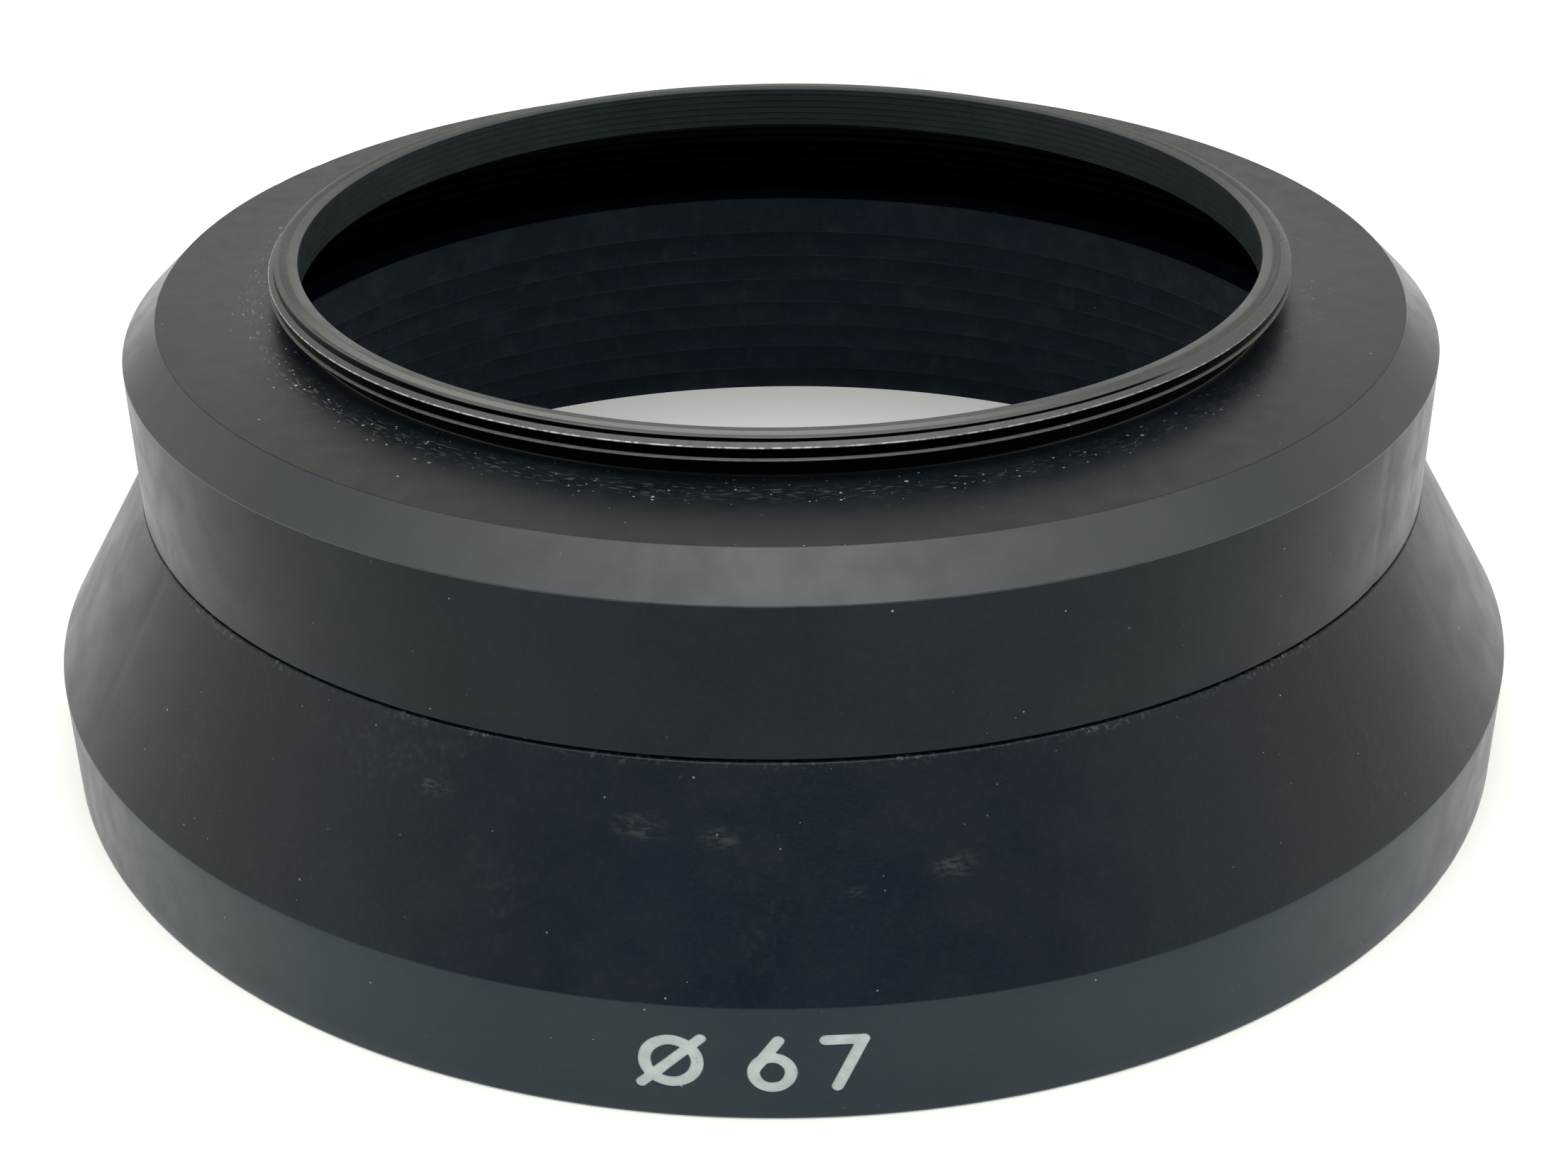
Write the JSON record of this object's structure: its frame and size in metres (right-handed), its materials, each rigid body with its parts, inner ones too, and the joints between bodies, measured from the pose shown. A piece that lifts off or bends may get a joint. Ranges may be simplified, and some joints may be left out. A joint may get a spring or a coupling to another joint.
{
  "type": "lens hood",
  "caption": "Flared round lens hood in black metal, made of a threaded adapter ring and a stepped cone that part at a seam.",
  "frame": {"origin": "centre of the front rim, on the plane the hood stands on", "axes": "+Z is the optical axis, from the front rim towards the lens; -Y faces the size mark"},
  "size_m": [0.0996, 0.0996, 0.0331],
  "materials": {
    "black_anodised": "satin black anodised",
    "white_paint": "satin paint"
  },
  "bodies": {
    "hood": {"front_hood": "black_anodised", "size_mark": "white_paint"},
    "ring": {"adapter_ring": "black_anodised"}
  },
  "joints": [
    {"name": "ring_lift", "type": "slide", "parent": "hood", "child": "ring", "axis": [0, 0, 1], "range_m": [0, 0.03]}
  ]
}
